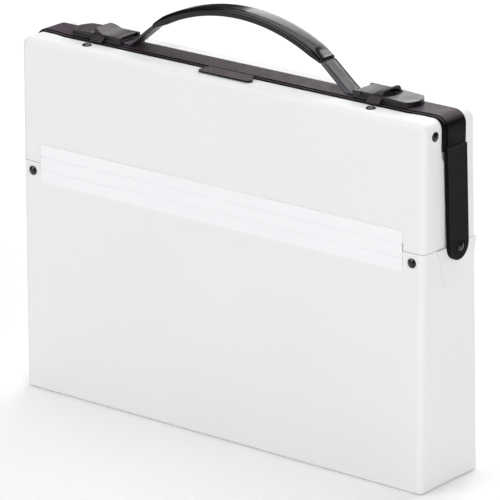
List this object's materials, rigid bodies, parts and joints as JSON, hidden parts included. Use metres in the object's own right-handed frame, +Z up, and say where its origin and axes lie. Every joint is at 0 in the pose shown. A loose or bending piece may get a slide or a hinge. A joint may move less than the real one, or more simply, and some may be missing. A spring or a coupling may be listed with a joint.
{
  "type": "portfolio carrying case",
  "caption": "Free-standing white plastic-sheet portfolio case with a black U-frame, fold-down front flap, arched carrying handle and lever latches.",
  "frame": {"origin": "centre of the flat base, on the floor", "axes": "+Z up, +X across the width to the right seen from the front, -Y towards the front flap"},
  "size_m": [0.4846, 0.0943, 0.4091],
  "materials": {
    "body_sheet": "slightly translucent white polypropylene sheet",
    "flap_sheet": "slightly translucent white polypropylene sheet",
    "hinge_strip": "moulded white hinge strip, a little smoother than the sheet",
    "side_sheet": "white polypropylene sheet",
    "frame_plastic": "fine-grained black plastic",
    "latch_plastic": "moulded black plastic",
    "lever_plastic": "moulded black plastic",
    "pin_steel": "bright steel pin",
    "screw_steel": "zinc-plated steel",
    "strike_plastic": "moulded black plastic",
    "grip_plastic": "smooth semi-matte black plastic",
    "strap_plastic": "smooth black plastic strap",
    "rivet_plastic": "glossy black plastic"
  },
  "bodies": {
    "case": {"body_shell": "body_sheet", "hinge_leaf_lower": "hinge_strip", "side_plate_left": "side_sheet", "side_plate_right": "side_sheet", "side_wing_left": "side_sheet", "side_wing_right": "side_sheet", "frame": "frame_plastic", "latch_base_left": "latch_plastic", "latch_base_right": "latch_plastic", "latch_pin_left": "pin_steel", "latch_pin_right": "pin_steel", "latch_screws_left": "screw_steel", "latch_screws_right": "screw_steel", "body_corner_tab_left": "side_sheet", "body_corner_tab_right": "side_sheet", "front_rivets": "rivet_plastic", "arm_rivets": "rivet_plastic"},
    "flap": {"front_flap": "flap_sheet", "hinge_leaf_upper": "hinge_strip", "latch_strike_left": "strike_plastic", "latch_strike_right": "strike_plastic", "flap_corner_tab_left": "side_sheet", "flap_corner_tab_right": "side_sheet", "flap_side_rivets": "rivet_plastic", "strike_rivets": "rivet_plastic"},
    "lever_left": {"latch_lever_left": "lever_plastic"},
    "lever_right": {"latch_lever_right": "lever_plastic"},
    "grip": {"handle_grip": "grip_plastic", "handle_core": "strap_plastic", "handle_strap_left": "strap_plastic", "handle_strap_right": "strap_plastic"},
    "stop_left": {"strap_stop_left": "strap_plastic"},
    "stop_right": {"strap_stop_right": "strap_plastic"}
  },
  "joints": [
    {"name": "flap_hinge", "type": "hinge", "parent": "case", "child": "flap", "pos_m": [0, -0.0468, 0.23575], "axis": [1, 0, 0], "range_deg": [0, 165]},
    {"name": "latch_right", "type": "hinge", "parent": "case", "child": "lever_right", "pos_m": [0.139, -0.0051, 0.35755], "axis": [0, -1, 0], "range_deg": [0, 60]},
    {"name": "latch_left", "type": "hinge", "parent": "case", "child": "lever_left", "pos_m": [-0.139, -0.0051, 0.35755], "axis": [0, 1, 0], "range_deg": [0, 60]},
    {"name": "handle_press", "type": "slide", "parent": "case", "child": "grip", "axis": [0, 0, -1], "range_m": [0, 0.015], "stiffness_N_per_m": 400, "springref_m": -0.003, "deforming": ["handle_strap_left", "handle_strap_right"]},
    {"name": "strap_slide_right", "type": "slide", "parent": "grip", "child": "stop_right", "axis": [0.4229, 0, 0.9062], "range_m": [0, 0.01675]},
    {"name": "strap_slide_left", "type": "slide", "parent": "grip", "child": "stop_left", "axis": [-0.4229, 0, 0.9062], "range_m": [0, 0.01675]}
  ],
  "couplings": [
    {"joint": "strap_slide_right", "follows": "handle_press", "ratio": 1.1035},
    {"joint": "strap_slide_left", "follows": "handle_press", "ratio": 1.1035}
  ]
}
